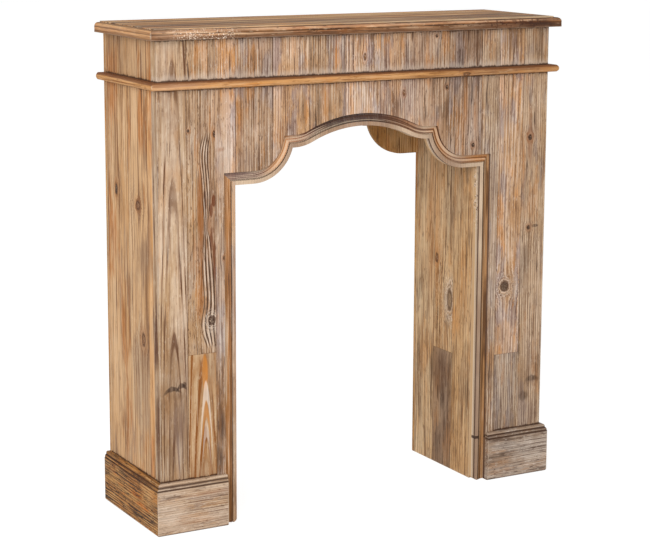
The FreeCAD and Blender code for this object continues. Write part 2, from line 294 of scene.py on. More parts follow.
def make_fir_group():
    """Weathered fir: yearly rings, coloured bands, fine lines, stains, cracks and white wash."""
    numbers = "across depth along seed fineness ring_gap pith_across pith_depth lean "
    shade, given = new_group(
        "weathered_fir", numbers + " ".join(WOOD_AMOUNTS), colours=" ".join(WOOD_COLOURS)
    )
    fine_depth = given.depth * given.fineness
    fine_along = given.along * given.fineness

    def pattern(layer, side):
        place = shade.point(side * layer.across, fine_depth * layer.across, fine_along * layer.along)
        return shade.noise(place, given.seed + layer.seed, layer.detail, layer.roughness)

    def drift(layer, reach):
        return (pattern(layer, given.across) - NOISE_MIDDLE) * reach

    bent = given.across + drift(WAVE, WAVE_REACH) + drift(WANDER, WANDER_REACH)
    fine = bent * given.fineness
    streaks = pattern(STREAKS, fine)
    lines = pattern(LINES, fine)
    threads = pattern(THREADS, fine)
    specks = pattern(SPECKS, fine)
    clouds = pattern(CLOUDS, given.across)
    lined = pattern(ZONES, fine).step(*ZONE_RANGE) * (1 - LEAST_LINED) + LEAST_LINED
    mottled = pattern(PATCHES, given.across).step(*PATCH_RANGE)
    blotched = pattern(BLOTCHES, fine).step(*BLOTCH_RANGE)
    cracked = pattern(CRACKS, fine).step(*CRACK_RANGE)
    washed = lines.step(*LINE_PALE) * mottled

    below = given.depth - given.pith_depth + given.along * given.lean + drift(SAG, SAG_REACH)
    radius = shade.length(bent - given.pith_across, below)
    uneven = shade.noise(shade.point(radius * YEAR_PATTERN, 0.0), given.seed, detail=1.0)
    year = shade.math("FRACT", radius / given.ring_gap + uneven * YEAR_SPREAD)
    late = year.band(*LATE_BAND)
    early = year.band(*EARLY_BAND) * mottled

    # What lies on the wood, in order: where, which amount rules it, its share of that amount, and its tint
    layers = (
        (pattern(WARMS, fine).step(*TONE_RANGE), given.warm_amount, 1.0, given.warm),
        (pattern(GREYS, fine).step(*TONE_RANGE), given.grey_amount, 1.0, given.grey),
        (streaks.step(*STREAK_DARK), given.line_amount, 0.2, given.line),
        (streaks.step(*STREAK_PALE) * mottled, given.wash_amount, 0.2, given.white),
        (clouds.step(*CLOUD_DARK), given.stain_amount, 0.7, given.stain),
        (clouds.step(*CLOUD_PALE), given.wash_amount, 0.5, given.white),
        (early, given.wash_amount, 0.6, given.white),
        (late * lined, given.ring_amount, 1.7, given.line),
        (blotched * streaks.step(*STREAK_STAINED), given.stain_amount, 1.0, given.stain),
        (lines.step(*LINE_DARK) * lined, given.line_amount, 1.4, given.line),
        (washed, given.wash_amount, 0.7, given.white),
        (threads.step(*THREAD_DARK), given.line_amount, 1.0, given.line),
        (specks.step(*SPECK_DARK) * given.fineness, given.line_amount, 1.0, given.line),
        (specks.step(*SPECK_PALE) * given.fineness, given.wash_amount, 0.6, given.white),
    )
    colour = shade.blend(pattern(BANDS, fine).step(*BAND_RANGE), given.pale, given.tan)
    for where, amount, share, tint in layers:
        colour = shade.blend(where * amount * share, colour, tint)
    return shade.give(
        colour=shade.blend(cracked * CRACK_STRENGTH, colour, given.stain),
        height=late * LATE_RELIEF + lines * LINE_RELIEF + threads * THREAD_RELIEF - cracked,
        roughness=washed * WASH_ROUGH + BARE_ROUGH + threads * THREAD_ROUGH,
        fibre=lines,
    )


# The fibres that draw out a mark, across and along per metre, and how far they do
SMUDGE_ACROSS = 190.0
SMUDGE_ALONG = 7.0
SMUDGE_RAGGED = 3.0
SMUDGE_RIM = 0.4
FIBRE_GAP = (0.56, 0.44)
FIBRE_GAP_DEPTH = 0.8


def make_smudge_group():
    """A stained, washed or torn place on a board, long, round or bowed, drawn out along the fibres."""
    shade, given = new_group(
        "smudge", "across along seed mark_across mark_along half_width half_length softness bow"
    )
    beside = given.across - given.mark_across
    level = given.along - given.mark_along
    softness = given.softness
    place = shade.point(beside * SMUDGE_ACROSS, level * SMUDGE_ALONG)
    fibres = shade.noise(place, given.seed, detail=3.0, roughness=0.65)
    wide = beside / given.half_width
    above = level + wide * wide * given.bow
    fray = (fibres - NOISE_MIDDLE) * softness * SMUDGE_RAGGED
    ragged = shade.length(wide, above / given.half_length) + fray
    inside = ragged.step(softness * SMUDGE_RIM + 1.0, 1.0 - softness)
    gaps = softness * fibres.step(*FIBRE_GAP) * FIBRE_GAP_DEPTH
    return shade.give(smudge=inside * (1.0 - gaps))


# Worn places along an edge, per metre, and how much of the reach is worn right through
WORN_PATTERN = 40.0
WORN_RANGE = (0.25, 0.75)
WORN_CORE = 0.35


def make_rubbed_group():
    """Wear along the edges of the box that a panel fills: 1 on a rubbed edge, 0 away from it."""
    shade, given = new_group("rubbed_edges", "reach seed", places="place low high")
    from_low = shade.vector("SUBTRACT", given.place, given.low)
    from_high = shade.vector("SUBTRACT", given.high, given.place)
    x, y, z = shade.parts(shade.vector("MINIMUM", from_low, from_high))
    larger = shade.math("MAXIMUM", x, y)
    edge = shade.math("MAXIMUM", shade.math("MINIMUM", x, y), shade.math("MINIMUM", larger, z))
    place = shade.scaled(given.place, WORN_PATTERN)
    patchy = shade.noise(place, given.seed, detail=4.0, roughness=0.65)
    reach = given.reach * patchy.step(*WORN_RANGE)
    return shade.give(rubbed=edge.step(reach, reach * WORN_CORE))


HEIGHT_SLOTS = ("first", "second", "third", "fourth")
# The streaks of these lines, sideways and upwards per metre, and what makes them long or short
LINE_SIDEWAYS = 60.0
LINE_UPWARDS = 12.0
LINE_PATCHY = 1.6
LINE_FIBROUS = 2.4
LINE_START = 1.2
LINE_LEAST = 0.15
LINE_CORE = 0.3


def make_height_lines_group():
    """Lines drawn out in short streaks near several heights, for painted shade in corners and for white
    wash.
    """
    shade, given = new_group("corner_grime", "side height seed reach fibre " + " ".join(HEIGHT_SLOTS))
    place = shade.point(given.side * LINE_SIDEWAYS, given.height * LINE_UPWARDS)
    patchy = shade.noise(place, given.seed, detail=3.0)
    uneven = patchy * LINE_PATCHY + given.fibre * LINE_FIBROUS
    gaps = [abs(given.height - level) for level in (given.first, given.second, given.third, given.fourth)]
    nearest = gaps[0]
    for gap in gaps[1:]:
        nearest = shade.math("MINIMUM", nearest, gap)
    reach = given.reach * shade.math("MAXIMUM", uneven - LINE_START, LINE_LEAST)
    return shade.give(grime=nearest.step(reach, reach * LINE_CORE))


# The parts of the moulding, by how far behind the face they lie
FACE_EDGE = (0.6 * MM, 1.4 * MM)
COVE_EDGE = (2.4 * MM, 3.0 * MM)
ARRIS_BACK = (8.2 * MM, 8.8 * MM)
SEAM_DEPTH = 11.5 * MM
SEAM_EDGE = (1.1 * MM, 0.6 * MM)
REAR_EDGE = (16 * MM, 18 * MM)
FORWARD = (0.2, 0.45)
STREAKS_DEEP = 900.0
STREAKS_LONG = 5.0


def make_moulding_group():
    """The moulding cut round the arch, told from the face by how deep it lies and how it faces."""
    shade, given = new_group("arch_moulding", "depth facing seed", places="place")
    depth = given.depth
    x, y, z = shade.parts(given.place)
    run = shade.point(depth * STREAKS_DEEP, x * STREAKS_LONG, z * STREAKS_LONG)
    forward = given.facing.step(*FORWARD)
    sideways = 1.0 - forward
    below_face = depth.step(*FACE_EDGE)
    deep = depth.step(*COVE_EDGE)
    behind = depth.step(*ARRIS_BACK)
    return shade.give(
        cove=deep * forward,
        arris=below_face * (1.0 - deep) * forward,
        walls=below_face * (1.0 - behind) * sideways,
        inside=behind * sideways,
        seam=sideways * abs(depth - SEAM_DEPTH).step(*SEAM_EDGE),
        rear=sideways * depth.step(*REAR_EDGE),
        streaks=shade.noise(run, given.seed, detail=2.0, roughness=0.6),
    )


CHIP_RANGE = (0.53, 0.6)
CHIP_CORE = 0.6


def make_chips_group():
    """Chipped and bruised spots in one stretch of a board."""
    shade, given = new_group("chipped_spots", "seed along middle spread fineness", places="place")
    place = shade.scaled(given.place, given.fineness)
    spots = shade.noise(place, given.seed, detail=4.0, roughness=0.7).step(*CHIP_RANGE)
    within = abs(given.along - given.middle).step(given.spread, given.spread * CHIP_CORE)
    return shade.give(chips=spots * within)


# A bundle of strands: where they break and sway, which part of each is dark or white, and how it ends
BREAKS_ACROSS = 0.7
BREAKS_ALONG = 16.0
STRAND_SWAY = 0.4
DARK_BAND = (0.0, 0.12, 0.38, 0.5)
DARK_UNBROKEN = (0.34, 0.46)
WHITE_BAND = (0.55, 0.66, 0.9, 1.0)
WHITE_UNBROKEN = (0.6, 0.48)
BUNDLE_BAND = (-0.06, 0.04, 0.96, 1.06)
BUNDLE_FADE = 24 * MM


def make_strands_group():
    """A bundle of dark and white strands of grain between two edges that swing apart and together."""
    shade, given = new_group("strands", "across along left right count low high seed")
    share = (given.across - given.left) / (given.right - given.left)
    strands = share * given.count
    place = shade.point(strands * BREAKS_ACROSS, given.along * BREAKS_ALONG)
    broken = shade.noise(place, given.seed, detail=3.0)
    turn = shade.math("FRACT", strands + broken * STRAND_SWAY)
    within = share.band(*BUNDLE_BAND)
    for end, inner in ((given.low, BUNDLE_FADE), (given.high, -BUNDLE_FADE)):
        within = within * given.along.step(end, end + inner)
    return shade.give(
        dark=turn.band(*DARK_BAND) * broken.step(*DARK_UNBROKEN) * within,
        white=turn.band(*WHITE_BAND) * broken.step(*WHITE_UNBROKEN) * within,
    )


KNOT = make_knot_group()
FIR = make_fir_group()
SMUDGE = make_smudge_group()
RUBBED = make_rubbed_group()
HEIGHT_LINES = make_height_lines_group()
MOULDING = make_moulding_group()
CHIPS = make_chips_group()
STRANDS = make_strands_group()


def wood(tan, pale, warm, grey, line, white, stain, amounts):
    """One finish: its colours, and how strong its effects are in the order of WOOD_AMOUNTS."""
    colours = (tan, pale, warm, grey, line, white, stain)
    named = {name: paint(*colour) for name, colour in zip(WOOD_COLOURS, colours)}
    return {**named, **dict(zip(WOOD_AMOUNTS, amounts))}


# Each finish: tan, pale, warm and grey wood, then dark lines, white wash, stain and its amounts
PINKISH_FIR = wood(
    (180, 140, 102), (196, 162, 138), (196, 136, 78), (150, 130, 124),
    (82, 52, 38), (230, 214, 198), (76, 50, 38), (0.75, 0.75, 0.28, 0.5, 0.45, 0.45),
)
PALE_FIR = wood(
    (168, 136, 102), (178, 150, 124), (180, 130, 80), (156, 134, 116),
    (92, 60, 40), (224, 206, 184), (98, 70, 50), (0.3, 0.35, 0.8, 0.35, 0.42, 0.3),
)
PLAIN_FIR = wood(
    (170, 130, 90), (180, 142, 106), (184, 118, 56), (146, 118, 98),
    (76, 46, 28), (222, 202, 178), (80, 52, 36), (0.55, 0.4, 0.3, 0.6, 0.4, 0.4),
)
BROWN_FIR = wood(
    (176, 136, 98), (194, 162, 136), (184, 120, 64), (144, 122, 114),
    (74, 46, 30), (226, 206, 184), (56, 36, 26), (0.8, 0.75, 0.3, 0.45, 0.45, 0.5),
)
FLAME_FIR = wood(
    (168, 128, 88), (180, 144, 108), (166, 104, 46), (146, 116, 90),
    (130, 78, 34), (218, 196, 164), (88, 58, 40), (0.3, 0.3, 1.0, 0.3, 0.4, 0.35),
)
DULL_FIR = wood(
    (160, 124, 92), (178, 146, 122), (176, 118, 62), (136, 116, 108),
    (74, 46, 32), (218, 198, 178), (68, 46, 34), (0.7, 0.75, 0.32, 0.5, 0.42, 0.55),
)
GREY_FIR = wood(
    (170, 140, 110), (184, 156, 130), (178, 124, 74), (142, 124, 114),
    (90, 62, 46), (216, 196, 176), (82, 62, 50), (0.5, 0.75, 0.4, 0.45, 0.5, 0.45),
)
GOLDEN_FIR = wood(
    (196, 146, 95), (214, 168, 120), (182, 116, 58), (160, 124, 92),
    (108, 68, 38), (230, 198, 160), (100, 64, 38), (1.0, 0.8, 0.12, 0.55, 0.5, 0.5),
)
CHEEK_FIR = wood(
    (188, 150, 108), (198, 164, 126), (188, 134, 78), (150, 124, 98),
    (86, 58, 36), (220, 198, 166), (80, 56, 38), (0.6, 0.6, 0.3, 0.6, 0.5, 0.5),
)
DARK_CHEEK_FIR = wood(
    (150, 116, 84), (160, 130, 102), (150, 100, 56), (116, 92, 76),
    (70, 46, 30), (190, 164, 138), (66, 46, 34), (0.5, 0.7, 0.7, 0.6, 0.4, 0.7),
)
BACK_FIR = wood(
    (182, 132, 76), (192, 146, 92), (186, 118, 54), (150, 114, 76),
    (92, 56, 28), (214, 180, 136), (80, 50, 28), (0.65, 0.5, 0.3, 0.4, 0.35, 0.35),
)
SHELF_FIR = wood(
    (188, 132, 76), (212, 164, 110), (190, 114, 44), (152, 110, 72),
    (72, 42, 22), (238, 208, 166), (66, 38, 22), (0.7, 0.55, 0.65, 0.9, 0.65, 0.4),
)
EDGE_FIR = wood(
    (168, 108, 60), (204, 150, 102), (172, 98, 42), (130, 90, 58),
    (48, 26, 14), (238, 208, 172), (46, 26, 14), (0.7, 0.55, 0.6, 0.85, 0.65, 0.55),
)
BEAD_FIR = wood(
    (196, 142, 86), (204, 156, 106), (196, 126, 56), (168, 124, 82),
    (120, 74, 36), (222, 188, 150), (108, 68, 38), (0.65, 0.4, 0.5, 0.45, 0.35, 0.3),
)
PLINTH_FIR = wood(
    (168, 142, 118), (180, 158, 140), (164, 122, 82), (146, 128, 118),
    (96, 70, 52), (212, 196, 180), (88, 66, 50), (0.55, 0.6, 0.15, 0.5, 0.45, 0.5),
)
GREY_PLINTH_FIR = wood(
    (152, 130, 112), (170, 154, 142), (158, 116, 78), (134, 124, 118),
    (82, 64, 54), (206, 196, 188), (80, 64, 54), (0.5, 0.55, 0.2, 0.55, 0.55, 0.45),
)
DARK_PLINTH_FIR = wood(
    (168, 110, 54), (188, 138, 80), (180, 100, 32), (110, 78, 48),
    (42, 24, 14), (210, 174, 124), (44, 26, 16), (0.85, 0.6, 0.6, 0.9, 0.45, 0.8),
)
BATTEN_FIR = wood(
    (198, 160, 114), (206, 174, 134), (192, 142, 88), (174, 142, 110),
    (132, 94, 58), (214, 188, 156), (120, 84, 54), (0.4, 0.3, 0.5, 0.3, 0.15, 0.1),
)

KNOT_RING = paint(56, 30, 18)
KNOT_HALO = paint(156, 100, 56)
KNOT_SPECK = paint(168, 144, 120)
KNOT_HEARTS = {
    "brown": paint(116, 74, 42),
    "dark": paint(34, 20, 14),
    "grey": paint(64, 46, 36),
    "tan": paint(132, 104, 76),
}
# Painted shade in the corners and steps, and along the foot of the plinths
PAINTED_SHADE_BROWN = paint(60, 34, 18)
RUBBED_PALE = paint(218, 196, 172)
JOINT_BROWN = paint(70, 42, 24)
ARRIS_PALE = paint(214, 190, 162)
ARRIS_BROWN = paint(150, 122, 100)
LIP_DARK = paint(68, 40, 26)
REAR_GOLD = paint(184, 138, 78)
CHIP_PALE = paint(232, 210, 188)
CHIP_DARK = paint(60, 34, 24)
STAIN_BROWN = paint(96, 64, 42)
STAIN_BLACK = paint(52, 34, 26)
STAIN_RED = paint(96, 50, 24)
STAIN_GREY = paint(118, 96, 86)
STAIN_RUST = paint(134, 82, 40)
STAIN_ORANGE = paint(182, 116, 48)
WASH_WHITE = paint(224, 206, 188)
WASH_ROSE = paint(202, 160, 128)

# How each kind of board lies: its finish, the axis along its grain, the axis across its face, how fine its
# figure is and how strong its rubbed edges show
Kind = namedtuple("Kind", "starts finish along across fineness rubbed")
KINDS = (
    Kind("front_", PINKISH_FIR, "Z", "X", 1.0, 0.35),
    Kind("back_", BACK_FIR, "Z", "X", 1.0, 0.4),
    Kind(("left_side_", "right_side_"), GOLDEN_FIR, "Z", "Y", 0.5, 0.35),
    Kind(("left_cheek_", "right_cheek_"), CHEEK_FIR, "Z", "Y", 0.8, 0.4),
    Kind("shelf_plank_", SHELF_FIR, "X", "Y", 0.28, 0.3),
    Kind("shelf_edge_front", EDGE_FIR, "X", "Z", 1.0, 0.5),
    Kind("shelf_edge_", EDGE_FIR, "Y", "Z", 1.0, 0.5),
    Kind("bead_front", BEAD_FIR, "X", "Z", 1.0, 0.5),
    Kind("bead_", BEAD_FIR, "Y", "Z", 1.0, 0.5),
    Kind("left_plinth_front", PLINTH_FIR, "X", "Z", 1.3, 0.4),
    Kind("right_plinth_front", GREY_PLINTH_FIR, "X", "Z", 1.3, 0.4),
    Kind("left_plinth_side", DARK_PLINTH_FIR, "Y", "Z", 1.0, 0.4),
    Kind("right_plinth_side", GREY_PLINTH_FIR, "Y", "Z", 1.0, 0.4),
    Kind(("shelf_cleat_", "left_foot_", "right_foot_"), BATTEN_FIR, "X", "Z", 1.0, 0.2),
    Kind(("left_leg_cleat", "right_leg_cleat"), BATTEN_FIR, "Y", "Z", 1.0, 0.2),
)

# Boards that share worn outer edges, by the start of their names
PANELS = (
    "front_", "back_", "left_side_", "right_side_", "left_cheek_", "right_cheek_", "shelf_plank_",
    "left_plinth_", "right_plinth_", "shelf_edge_", "bead_",
)

# Knots in millimetres: across, along, half-width, how long for its width, and its heart
RINGED_HEARTS = ("grey", "tan")
Knot = namedtuple("Knot", "across along size stretch heart")
KNOTS = {
    "front_left_stave_2": (
        (-375, 466, 8, 1.2, "grey"), (-428, 882, 3, 1.0, "dark"), (-367, 872, 3, 2.2, "dark"),
    ),
    "front_left_jamb_stave": ((-345, 601, 2, 2.0, "dark"),),
    "front_right_stave_1": ((390, 467, 11, 1.1, "grey"),),
    "front_right_stave_2": ((454, 818, 5, 1.3, "dark"), (455, 603, 4, 1.2, "dark")),
    "front_header_stave_7": ((294, 809, 4, 1.2, "dark"),),
    "front_header_stave_4": ((4, 1023, 3.5, 2.0, "brown"),),
    "front_header_stave_5": ((106, 938, 3, 2.0, "brown"),),
    "front_header_stave_6": ((191, 1063, 3, 1.0, "dark"), (220, 946, 3, 1.4, "dark")),
    "left_side_back_stave": ((92, 733, 6, 2.0, "dark"),),
    "left_side_middle_stave": ((-28, 713, 9, 1.0, "brown"), (-49, 419, 9, 1.5, "brown")),
    "right_cheek_stave_2": ((50, 512, 6, 1.8, "brown"), (-10, 418, 10, 2.4, "tan")),
    "bead_front": ((976, 262, 4, 2.2, "brown"),),
}

# Marks in millimetres: across, along, half-width, half-length, how soft the edge is, its tint and strength,
# and how far its ends hang down
Mark = namedtuple("Mark", "across along half_width half_length softness tint strength bow", defaults=(0,))
MARKS = {
    "front_left_stave_1": (
        (-466, 250, 50, 190, 0.5, STAIN_BROWN, 0.52), (-466, 900, 70, 110, 0.5, STAIN_BROWN, 0.22),
        (-474, 410, 18, 45, 0.8, STAIN_BROWN, 0.5),
        (-455, 245, 24, 60, 0.8, STAIN_GREY, 0.5), (-456, 170, 9, 60, 0.8, WASH_WHITE, 0.4),
        (-470, 324, 22, 6, 0.35, STAIN_BLACK, 0.85, 12), (-448, 329, 14, 6, 0.35, STAIN_BLACK, 0.9, 12),
        (-441, 331, 5, 6, 0.35, STAIN_BLACK, 0.8), (-458, 306, 18, 10, 0.8, STAIN_BROWN, 0.55),
    ),
    "front_left_stave_2": (
        (-384, 640, 24, 240, 0.8, STAIN_RUST, 0.5), (-400, 715, 8, 90, 0.4, STAIN_RUST, 0.95),
        (-398, 560, 6, 110, 0.5, STAIN_RUST, 0.6), (-376, 455, 14, 40, 0.7, WASH_WHITE, 0.45),
        (-392, 352, 7, 42, 0.2, STAIN_ORANGE, 0.85), (-390, 310, 16, 24, 0.2, WASH_WHITE, 0.6, 150),
        (-390, 270, 12, 20, 0.2, STAIN_ORANGE, 0.7, 110), (-390, 225, 11, 20, 0.2, WASH_WHITE, 0.4, 90),
        (-369, 728, 5, 14, 0.2, STAIN_RED, 0.95), (-375, 708, 4, 16, 0.2, STAIN_RED, 0.9),
        (-375, 640, 4, 22, 0.2, STAIN_RED, 0.9), (-368, 596, 5, 44, 0.2, STAIN_RED, 0.95),
        (-373, 664, 6, 8, 0.6, STAIN_RED, 0.7),
        (-385, 815, 14, 55, 0.9, STAIN_BROWN, 0.5), (-400, 890, 50, 100, 0.5, STAIN_BROWN, 0.22),
    ),
    "front_left_jamb_stave": (
        (-357, 230, 14, 160, 0.6, STAIN_BROWN, 0.75), (-352, 815, 14, 60, 0.8, STAIN_GREY, 0.5),
        (-354, 235, 10, 50, 0.6, STAIN_BLACK, 0.7), (-358, 150, 12, 36, 0.6, STAIN_BLACK, 0.6),
        (-352, 560, 16, 160, 0.9, WASH_WHITE, 0.3), (-340, 810, 22, 70, 0.8, WASH_WHITE, 0.4),
        (-352, 838, 12, 6, 0.7, STAIN_RUST, 0.6), (-318, 430, 4, 420, 0.3, STAIN_RUST, 0.55),
    ),
    "front_header_stave_1": (
        (-288, 812, 34, 28, 0.8, STAIN_GREY, 0.45), (-305, 900, 8, 70, 0.9, STAIN_ORANGE, 0.4),
    ),
    "front_header_stave_2": (
        (-150, 912, 9, 44, 0.7, STAIN_BLACK, 0.6), (-206, 860, 10, 40, 0.9, STAIN_ORANGE, 0.35),
    ),
    "front_header_stave_3": (
        (-95, 925, 12, 70, 0.9, STAIN_ORANGE, 0.55), (-112, 905, 7, 50, 0.7, STAIN_BLACK, 0.5),
        (-84, 900, 5, 60, 0.6, STAIN_BLACK, 0.5), (-68, 1030, 8, 60, 0.9, STAIN_ORANGE, 0.45),
    ),
    "front_header_stave_5": ((160, 1020, 8, 60, 0.9, STAIN_ORANGE, 0.45),),
    "front_header_stave_7": (
        # The first mark: darker brown just under the shelf
        (285, 1045, 44, 40, 0.8, STAIN_BROWN, 0.6), (272, 905, 8, 75, 0.8, STAIN_ORANGE, 0.55),
        (298, 880, 7, 80, 0.9, STAIN_ORANGE, 0.45), (281, 890, 4, 60, 0.5, STAIN_BROWN, 0.5),
    ),
    "front_right_jamb_stave": ((350, 700, 12, 160, 0.8, STAIN_GREY, 0.5),),
    "front_right_stave_1": (
        (384, 876, 24, 42, 0.8, STAIN_GREY, 0.6), (414, 462, 12, 34, 0.8, WASH_WHITE, 0.45),
        # Darker brown just under the shelf
        (400, 1045, 36, 40, 0.8, STAIN_BROWN, 0.6),
    ),
    "front_right_stave_2": (
        (466, 150, 36, 40, 0.5, STAIN_GREY, 0.45), (454, 232, 22, 50, 0.6, STAIN_BROWN, 0.4),
        (476, 234, 22, 8, 0.5, STAIN_BLACK, 0.7, 6), (452, 192, 16, 14, 0.5, STAIN_BLACK, 0.6),
        (454, 806, 8, 60, 0.7, STAIN_RUST, 0.7), (472, 606, 12, 4, 0.4, STAIN_BLACK, 0.7),
        # The second mark: darker brown just under the shelf
        (438, 770, 6, 70, 0.6, STAIN_ORANGE, 0.55), (468, 1045, 34, 40, 0.8, STAIN_BROWN, 0.6),
    ),
    "right_cheek_stave_2": (
        (-10, 418, 22, 70, 0.8, WASH_WHITE, 0.35), (30, 235, 34, 70, 0.6, STAIN_BROWN, 0.6),
        (48, 560, 14, 170, 0.7, STAIN_ORANGE, 0.5),
    ),
    "right_cheek_stave_3": ((76, 600, 16, 260, 0.7, STAIN_ORANGE, 0.45),),
    # Painted shade on the sides just under the overhang of the shelf
    **{
        f"left_side_{place}_stave": ((across, 1035, 70, 56, 0.4, STAIN_BROWN, 0.25),)
        for place, across in (("front", -100), ("middle", -30), ("back", 80))
    },
    "left_plinth_front": (
        (84, -400, 8, 70, 0.8, STAIN_ORANGE, 0.3), (24, -420, 8, 60, 0.8, STAIN_ORANGE, 0.3),
        (45, -490, 36, 56, 0.8, WASH_WHITE, 0.4),
    ),
    "bead_front": (
        (979, -470, 12, 90, 0.8, WASH_ROSE, 0.6), (979, 400, 12, 180, 0.8, STAIN_GREY, 0.35),
        (977, -60, 4, 130, 0.8, STAIN_RUST, 0.5), (981, -330, 4, 120, 0.8, STAIN_RUST, 0.5),
        (985, 262, 4, 14, 0.6, STAIN_ORANGE, 0.5),
    ),
    "shelf_edge_left": ((1088, 0, 16, 300, 0.8, WASH_ROSE, 0.5),),
    "shelf_edge_front": (
        # A pale band of wash with a painted highlight along the strip's rounded top, and the strip darker
        # brown lower down
        (1093.5, 0, 3.5, 700, 0.6, WASH_ROSE, 0.5), (1080, 0, 7, 900, 0.5, STAIN_BROWN, 0.75),
        (1087, -450, 10, 110, 0.8, WASH_ROSE, 0.6), (1085, 385, 9, 120, 0.6, STAIN_RED, 0.95),
        (1081, 460, 9, 70, 0.5, STAIN_BLACK, 0.95),
    ),
}

# Bundles of strands in millimetres: how many, then the height, left and right edge of some places, upwards
STRAND_DARK = paint(56, 32, 18)
BUNDLES = {
    "front_left_stave_2": (3.4, (
        (396, -384, -364), (451, -400, -367), (506, -393, -366), (585, -397, -370), (650, -394, -378),
        (674, -391, -383), (723, -395, -376), (781, -398, -378), (831, -402, -381), (880, -392, -374),
    )),
}

# Boards joined end to end: the height of the joint and the finish below it
BUTTS = {
    "front_left_stave_2": (394, FLAME_FIR),
    "front_right_stave_1": (303, GREY_FIR),
    "right_cheek_stave_2": (290, DARK_CHEEK_FIR),
}

# Boards whose wood differs from the rest of their kind
OWN_FINISH = {
    "front_left_stave_1": PALE_FIR,
    "front_left_stave_2": PLAIN_FIR,
    "front_header_stave_1": DULL_FIR,
    "front_header_stave_3": BROWN_FIR,
    "front_header_stave_6": DULL_FIR,
    "front_header_stave_7": DULL_FIR,
    "front_right_jamb_stave": GREY_FIR,
    "front_right_stave_2": GREY_FIR,
    "shelf_edge_left": BEAD_FIR,
}

# Where the middle of the tree lay, for lengths whose figure is plain to see: millimetres across and behind
# the face, how the rings lean along the board, and their gap
FIGURES = {
    ("front_left_stave_1", 0): (-464, 4, -0.034, 9.0),
    ("front_left_stave_2", 1): (-392, 9.6, -0.06, 10.0),
    ("front_right_stave_1", 0): (440, 40, -0.01, 5.2),
}

# The stain of the moulding along the arch, from left to right in millimetres
COVE_GREY = paint(120, 94, 86)
COVE_BROWN = paint(150, 105, 74)
COVE_ORANGE = paint(184, 122, 68)
COVE_RED = paint(130, 76, 52)
COVE_DARK = paint(68, 48, 44)
COVE_PALE = paint(176, 140, 113)
COVE_RUN = (
    (-344, COVE_GREY), (-262, COVE_GREY), (-235, COVE_BROWN), (-205, COVE_ORANGE), (-160, COVE_RED),
    (-110, COVE_DARK), (40, COVE_DARK), (125, COVE_BROWN), (165, COVE_PALE), (200, COVE_ORANGE),
    (250, COVE_PALE), (300, COVE_ORANGE), (344, COVE_ORANGE),
)

# The stain of the upright moulding, and how pale the arris is on each board that carries it, as worn wash
# with painted highlight
COVE_UPRIGHT = {
    "front_left_jamb_stave": paint(158, 106, 58),
    "front_right_jamb_stave": paint(172, 124, 76),
}
COVE_PLAIN = paint(160, 110, 70)
ARRISES = {"front_left_jamb_stave": 0.3, "front_right_jamb_stave": 0.85}
ARRISES.update({f"front_header_stave_{count}": 0.8 for count in range(1, 8)})

# Chipped stretches: the middle and half-length in millimetres, how fine the chips are, and their colour
CHIPPED = {
    "shelf_edge_front": ((-395, 90, 300.0, CHIP_PALE), (400, 120, 140.0, CHIP_DARK)),
    "front_right_jamb_stave": ((685, 80, 90.0, CHIP_DARK), (690, 90, 120.0, CHIP_PALE)),
}
CHIP_STRENGTH = 0.75
NOTCHED = {"front_right_jamb_stave": 106 * MM}
NOTCH_EDGE = (4 * MM, 3 * MM)
NOTCH_STRENGTH = 0.9

# White wash and painted shade on the boards whose names start so: at which heights, how far it reaches in
# millimetres, how strong it is, its tint and its seed
WashAndShade = namedtuple("WashAndShade", "starts heights reach strength tint seed", defaults=(0.0,))
CORNERS = (BEAD_BOTTOM, BEAD_TOP, SHELF_BOTTOM)
JAMBS = ("front_left_jamb", "front_right_jamb")
WALLS = ("front_left_stave", "front_right_stave", "front_header", "left_side", "right_side")
PLINTHS = ("left_plinth", "right_plinth")
WASH_AND_SHADE = (
    WashAndShade("front_", (BEAD_TOP,), 24, 0.3, WASH_WHITE, 3.0),
    # Painted shade in the corners under and over the bead and under the shelf, and over the plinths
    WashAndShade(JAMBS, CORNERS, 6, 0.92, PAINTED_SHADE_BROWN),
    WashAndShade(WALLS, CORNERS + (PLINTH_TOP,), 6, 0.92, PAINTED_SHADE_BROWN),
    # Painted shade: a red-brown line along the top edge of the bead
    WashAndShade("bead_", (BEAD_TOP,), 7, 0.8, STAIN_RED),
    # Painted shade along the foot of the plinths and in the steps of their moulded tops
    WashAndShade(PLINTHS, (FLOOR,), 5, 0.7, PAINTED_SHADE_BROWN),
    WashAndShade(PLINTHS, PLINTH_STEPS, 4, 0.85, PAINTED_SHADE_BROWN),
    # Painted shade in the steps of the shelf's edge strip
    WashAndShade("shelf_edge", (STRIP_SHOULDER, STRIP_TOP), 3, 0.6, PAINTED_SHADE_BROWN),
    # The edge strip darker brown towards its bottom
    WashAndShade("shelf_edge", (SHELF_BOTTOM,), 12, 0.7, STAIN_BROWN),
)

# How far boards of one finish differ in lightness and in warmth, which blue shows most
LEVEL_SPREAD = 0.07
WARMTH_SPREAD = 0.05
BLUE_SHARE = 1.6
# Where the middle of the tree may lie, in widths beside a board and millimetres behind it, how much its
# rings may lean, and their gap in millimetres
PITH_BESIDE = (0.6, 3.0)
PITH_BEHIND = (15, 60)
RING_LEAN = (-0.03, 0.03)
RING_GAP = (4.8, 6.6)
# The seeds of the draws, of each next board and of the second length of a board
DRAW_SEED = 11
BOARD_SEED = 1.7
LENGTH_SEED = 100.0

